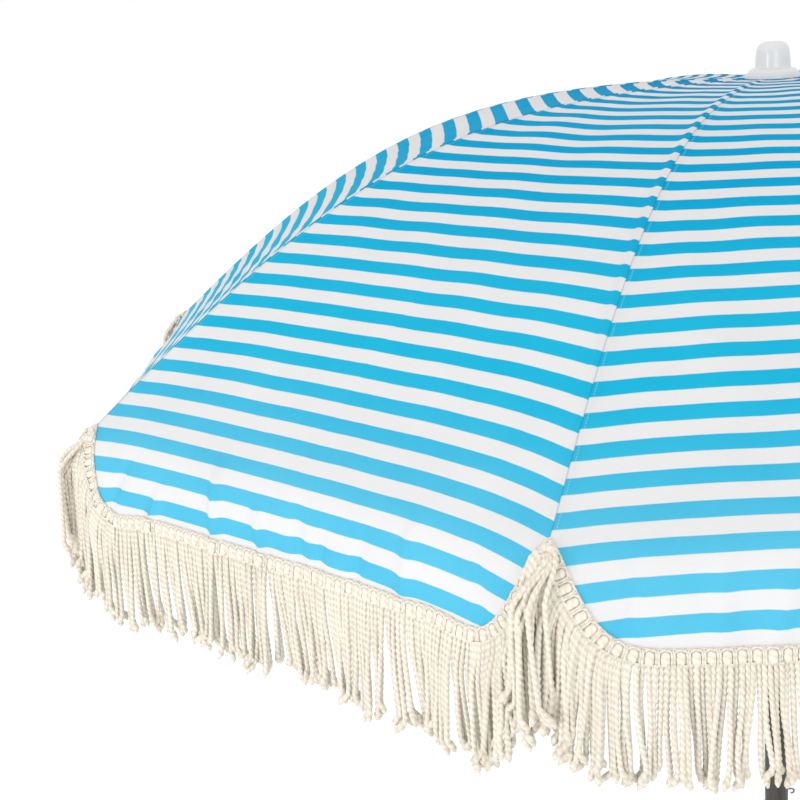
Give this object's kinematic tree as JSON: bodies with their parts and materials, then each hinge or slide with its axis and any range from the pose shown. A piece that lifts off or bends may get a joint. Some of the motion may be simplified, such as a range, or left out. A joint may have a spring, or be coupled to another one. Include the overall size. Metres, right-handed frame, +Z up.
{
  "type": "beach umbrella",
  "caption": "Open beach umbrella with a striped valanced canopy, rope fringe, white finial, folding rib and stretcher frame, tilting telescopic pole and ground spike.",
  "frame": {"origin": "tip of the ground spike, on the pole's axis", "axes": "+Z up along the pole towards the finial; +X towards the height pin, between two ribs"},
  "size_m": [1.743, 1.743, 2.0445],
  "materials": {
    "canopy": "matte",
    "fringe": "matte",
    "finial": "gloss",
    "pole": "satin",
    "inner_pole": "satin",
    "strip": "satin",
    "wire": "polished",
    "moulding": "satin",
    "spike": "matte"
  },
  "bodies": {
    "lower_pole": {"ground_spike": "spike", "lower_pole": "pole", "tilt_fork": "moulding", "tilt_pin": "wire"},
    "tilt_button": {"tilt_button": "spike"},
    "mid_pole": {"tilt_tongue": "moulding", "mid_pole": "inner_pole"},
    "upper_pole": {"upper_pole": "pole", "pole_collar": "moulding", "crown_hub": "moulding", "crown_ring": "wire", "finial_cap": "finial"},
    "height_pin": {"height_pin": "wire"},
    "runner_catch": {"runner_catch": "wire"},
    "runner": {"runner": "moulding", "runner_ring": "wire"},
    "rib_1": {"rib_1": "strip", "rib_saddle_1": "strip", "canopy_gore_1": "canopy"},
    "stretcher_1": {"stretcher_1": "strip"},
    "fringe_1": {"fringe_trim_1": "fringe"},
    "rib_2": {"rib_2": "strip", "rib_saddle_2": "strip", "canopy_gore_2": "canopy"},
    "stretcher_2": {"stretcher_2": "strip"},
    "fringe_2": {"fringe_trim_2": "fringe"},
    "rib_3": {"rib_3": "strip", "rib_saddle_3": "strip", "canopy_gore_3": "canopy"},
    "stretcher_3": {"stretcher_3": "strip"},
    "fringe_3": {"fringe_trim_3": "fringe"},
    "rib_4": {"rib_4": "strip", "rib_saddle_4": "strip", "canopy_gore_4": "canopy"},
    "stretcher_4": {"stretcher_4": "strip"},
    "fringe_4": {"fringe_trim_4": "fringe"},
    "rib_5": {"rib_5": "strip", "rib_saddle_5": "strip", "canopy_gore_5": "canopy"},
    "stretcher_5": {"stretcher_5": "strip"},
    "fringe_5": {"fringe_trim_5": "fringe"},
    "rib_6": {"rib_6": "strip", "rib_saddle_6": "strip", "canopy_gore_6": "canopy"},
    "stretcher_6": {"stretcher_6": "strip"},
    "fringe_6": {"fringe_trim_6": "fringe"},
    "rib_7": {"rib_7": "strip", "rib_saddle_7": "strip", "canopy_gore_7": "canopy"},
    "stretcher_7": {"stretcher_7": "strip"},
    "fringe_7": {"fringe_trim_7": "fringe"},
    "rib_8": {"rib_8": "strip", "rib_saddle_8": "strip", "canopy_gore_8": "canopy"},
    "stretcher_8": {"stretcher_8": "strip"},
    "fringe_8": {"fringe_trim_8": "fringe"}
  },
  "joints": [
    {"name": "tilt", "type": "hinge", "parent": "lower_pole", "child": "mid_pole", "pos_m": [0, 0, 0.9], "axis": [0, 1, 0], "range_deg": [0, 30]},
    {"name": "tilt_button_press", "type": "slide", "parent": "lower_pole", "child": "tilt_button", "axis": [1, 0, 0], "range_m": [0, 0.003], "stiffness_N_per_m": 800},
    {"name": "height_slide", "type": "slide", "parent": "mid_pole", "child": "upper_pole", "axis": [0, 0, 1], "range_m": [0, 0.2]},
    {"name": "height_pin_pull", "type": "slide", "parent": "upper_pole", "child": "height_pin", "axis": [1, 0, 0], "range_m": [0, 0.02]},
    {"name": "runner_catch_press", "type": "slide", "parent": "upper_pole", "child": "runner_catch", "axis": [0, -1, 0], "range_m": [0, 0.003], "stiffness_N_per_m": 900},
    {"name": "fold_rib_1", "type": "hinge", "parent": "upper_pole", "child": "rib_1", "pos_m": [0.02217, 0.00918, 1.9935], "axis": [-0.3827, 0.9239, 0], "range_deg": [0, 68], "deforming": ["canopy_gore_1"]},
    {"name": "stretcher_swing_1", "type": "hinge", "parent": "rib_1", "child": "stretcher_1", "pos_m": [0.36078, 0.14944, 1.94279], "axis": [-0.3827, 0.9239, 0], "range_deg": [-136, 0]},
    {"name": "fringe_hang_1", "type": "hinge", "parent": "rib_1", "child": "fringe_1", "pos_m": [0.8278, 0.34288, 1.66897], "axis": [-0.3827, 0.9239, 0], "range_deg": [-68, 0], "deforming": ["fringe_trim_1"]},
    {"name": "fold_rib_2", "type": "hinge", "parent": "upper_pole", "child": "rib_2", "pos_m": [0.00918, 0.02217, 1.9935], "axis": [-0.9239, 0.3827, 0], "range_deg": [0, 68], "deforming": ["canopy_gore_2"]},
    {"name": "stretcher_swing_2", "type": "hinge", "parent": "rib_2", "child": "stretcher_2", "pos_m": [0.14944, 0.36078, 1.94279], "axis": [-0.9239, 0.3827, 0], "range_deg": [-136, 0]},
    {"name": "fringe_hang_2", "type": "hinge", "parent": "rib_2", "child": "fringe_2", "pos_m": [0.34288, 0.8278, 1.66897], "axis": [-0.9239, 0.3827, 0], "range_deg": [-68, 0], "deforming": ["fringe_trim_2"]},
    {"name": "fold_rib_3", "type": "hinge", "parent": "upper_pole", "child": "rib_3", "pos_m": [-0.00918, 0.02217, 1.9935], "axis": [-0.9239, -0.3827, 0], "range_deg": [0, 68], "deforming": ["canopy_gore_3"]},
    {"name": "stretcher_swing_3", "type": "hinge", "parent": "rib_3", "child": "stretcher_3", "pos_m": [-0.14944, 0.36078, 1.94279], "axis": [-0.9239, -0.3827, 0], "range_deg": [-136, 0]},
    {"name": "fringe_hang_3", "type": "hinge", "parent": "rib_3", "child": "fringe_3", "pos_m": [-0.34288, 0.8278, 1.66897], "axis": [-0.9239, -0.3827, 0], "range_deg": [-68, 0], "deforming": ["fringe_trim_3"]},
    {"name": "fold_rib_4", "type": "hinge", "parent": "upper_pole", "child": "rib_4", "pos_m": [-0.02217, 0.00918, 1.9935], "axis": [-0.3827, -0.9239, 0], "range_deg": [0, 68], "deforming": ["canopy_gore_4"]},
    {"name": "stretcher_swing_4", "type": "hinge", "parent": "rib_4", "child": "stretcher_4", "pos_m": [-0.36078, 0.14944, 1.94279], "axis": [-0.3827, -0.9239, 0], "range_deg": [-136, 0]},
    {"name": "fringe_hang_4", "type": "hinge", "parent": "rib_4", "child": "fringe_4", "pos_m": [-0.8278, 0.34288, 1.66897], "axis": [-0.3827, -0.9239, 0], "range_deg": [-68, 0], "deforming": ["fringe_trim_4"]},
    {"name": "fold_rib_5", "type": "hinge", "parent": "upper_pole", "child": "rib_5", "pos_m": [-0.02217, -0.00918, 1.9935], "axis": [0.3827, -0.9239, 0], "range_deg": [0, 68], "deforming": ["canopy_gore_5"]},
    {"name": "stretcher_swing_5", "type": "hinge", "parent": "rib_5", "child": "stretcher_5", "pos_m": [-0.36078, -0.14944, 1.94279], "axis": [0.3827, -0.9239, 0], "range_deg": [-136, 0]},
    {"name": "fringe_hang_5", "type": "hinge", "parent": "rib_5", "child": "fringe_5", "pos_m": [-0.8278, -0.34288, 1.66897], "axis": [0.3827, -0.9239, 0], "range_deg": [-68, 0], "deforming": ["fringe_trim_5"]},
    {"name": "fold_rib_6", "type": "hinge", "parent": "upper_pole", "child": "rib_6", "pos_m": [-0.00918, -0.02217, 1.9935], "axis": [0.9239, -0.3827, 0], "range_deg": [0, 68], "deforming": ["canopy_gore_6"]},
    {"name": "stretcher_swing_6", "type": "hinge", "parent": "rib_6", "child": "stretcher_6", "pos_m": [-0.14944, -0.36078, 1.94279], "axis": [0.9239, -0.3827, 0], "range_deg": [-136, 0]},
    {"name": "fringe_hang_6", "type": "hinge", "parent": "rib_6", "child": "fringe_6", "pos_m": [-0.34288, -0.8278, 1.66897], "axis": [0.9239, -0.3827, 0], "range_deg": [-68, 0], "deforming": ["fringe_trim_6"]},
    {"name": "fold_rib_7", "type": "hinge", "parent": "upper_pole", "child": "rib_7", "pos_m": [0.00918, -0.02217, 1.9935], "axis": [0.9239, 0.3827, 0], "range_deg": [0, 68], "deforming": ["canopy_gore_7"]},
    {"name": "stretcher_swing_7", "type": "hinge", "parent": "rib_7", "child": "stretcher_7", "pos_m": [0.14944, -0.36078, 1.94279], "axis": [0.9239, 0.3827, 0], "range_deg": [-136, 0]},
    {"name": "fringe_hang_7", "type": "hinge", "parent": "rib_7", "child": "fringe_7", "pos_m": [0.34288, -0.8278, 1.66897], "axis": [0.9239, 0.3827, 0], "range_deg": [-68, 0], "deforming": ["fringe_trim_7"]},
    {"name": "fold_rib_8", "type": "hinge", "parent": "upper_pole", "child": "rib_8", "pos_m": [0.02217, -0.00918, 1.9935], "axis": [0.3827, 0.9239, 0], "range_deg": [0, 68], "deforming": ["canopy_gore_8"]},
    {"name": "stretcher_swing_8", "type": "hinge", "parent": "rib_8", "child": "stretcher_8", "pos_m": [0.36078, -0.14944, 1.94279], "axis": [0.3827, 0.9239, 0], "range_deg": [-136, 0]},
    {"name": "fringe_hang_8", "type": "hinge", "parent": "rib_8", "child": "fringe_8", "pos_m": [0.8278, -0.34288, 1.66897], "axis": [0.3827, 0.9239, 0], "range_deg": [-68, 0], "deforming": ["fringe_trim_8"]},
    {"name": "runner_travel", "type": "hinge", "parent": "stretcher_1", "child": "runner", "pos_m": [0.02217, 0.00918, 1.89207], "axis": [-0.3827, 0.9239, 0], "range_deg": [0, 68]}
  ],
  "couplings": [
    {"joint": "stretcher_swing_1", "follows": "fold_rib_1", "ratio": -2},
    {"joint": "fringe_hang_1", "follows": "fold_rib_1", "ratio": -1},
    {"joint": "fold_rib_2", "follows": "fold_rib_1", "ratio": 1},
    {"joint": "stretcher_swing_2", "follows": "fold_rib_1", "ratio": -2},
    {"joint": "fringe_hang_2", "follows": "fold_rib_1", "ratio": -1},
    {"joint": "fold_rib_3", "follows": "fold_rib_1", "ratio": 1},
    {"joint": "stretcher_swing_3", "follows": "fold_rib_1", "ratio": -2},
    {"joint": "fringe_hang_3", "follows": "fold_rib_1", "ratio": -1},
    {"joint": "fold_rib_4", "follows": "fold_rib_1", "ratio": 1},
    {"joint": "stretcher_swing_4", "follows": "fold_rib_1", "ratio": -2},
    {"joint": "fringe_hang_4", "follows": "fold_rib_1", "ratio": -1},
    {"joint": "fold_rib_5", "follows": "fold_rib_1", "ratio": 1},
    {"joint": "stretcher_swing_5", "follows": "fold_rib_1", "ratio": -2},
    {"joint": "fringe_hang_5", "follows": "fold_rib_1", "ratio": -1},
    {"joint": "fold_rib_6", "follows": "fold_rib_1", "ratio": 1},
    {"joint": "stretcher_swing_6", "follows": "fold_rib_1", "ratio": -2},
    {"joint": "fringe_hang_6", "follows": "fold_rib_1", "ratio": -1},
    {"joint": "fold_rib_7", "follows": "fold_rib_1", "ratio": 1},
    {"joint": "stretcher_swing_7", "follows": "fold_rib_1", "ratio": -2},
    {"joint": "fringe_hang_7", "follows": "fold_rib_1", "ratio": -1},
    {"joint": "fold_rib_8", "follows": "fold_rib_1", "ratio": 1},
    {"joint": "stretcher_swing_8", "follows": "fold_rib_1", "ratio": -2},
    {"joint": "fringe_hang_8", "follows": "fold_rib_1", "ratio": -1},
    {"joint": "runner_travel", "follows": "fold_rib_1", "ratio": 1}
  ]
}
